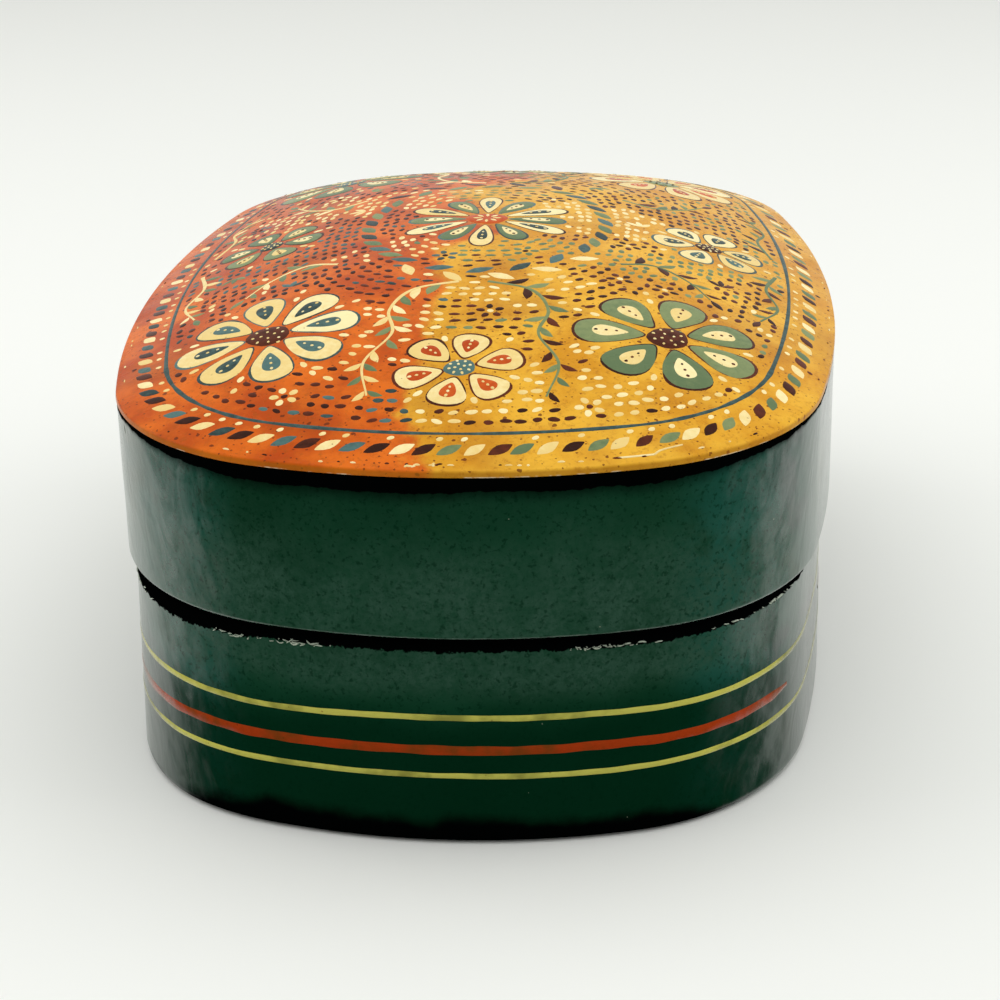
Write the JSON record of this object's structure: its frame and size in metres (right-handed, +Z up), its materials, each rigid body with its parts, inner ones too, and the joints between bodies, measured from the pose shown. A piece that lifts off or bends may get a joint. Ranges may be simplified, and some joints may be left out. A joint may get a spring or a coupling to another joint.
{
  "type": "papier-mache trinket box",
  "caption": "Lacquered papier-mache trinket box with bowed sides, a domed lift-off lid and an inner collar that keeps the lid in place.",
  "frame": {"origin": "centre of the underside, on the surface that the box stands on", "axes": "+Z up, the way the lid lifts; +Y along the box's longer side; +X across it, to the right when looking along +Y"},
  "size_m": [0.0814, 0.1114, 0.0505],
  "materials": {
    "base_wall": "gloss",
    "base_floor": "satin",
    "inner_collar": "satin",
    "lid_wall": "gloss",
    "lid_top": "gloss"
  },
  "bodies": {
    "base": {"base_wall": "base_wall", "base_floor": "base_floor", "inner_collar": "inner_collar"},
    "lid": {"lid_wall": "lid_wall", "lid_top": "lid_top"}
  },
  "joints": [
    {"name": "lid_lift", "type": "slide", "parent": "base", "child": "lid", "axis": [0, 0, 1], "range_m": [0, 0.06]}
  ]
}
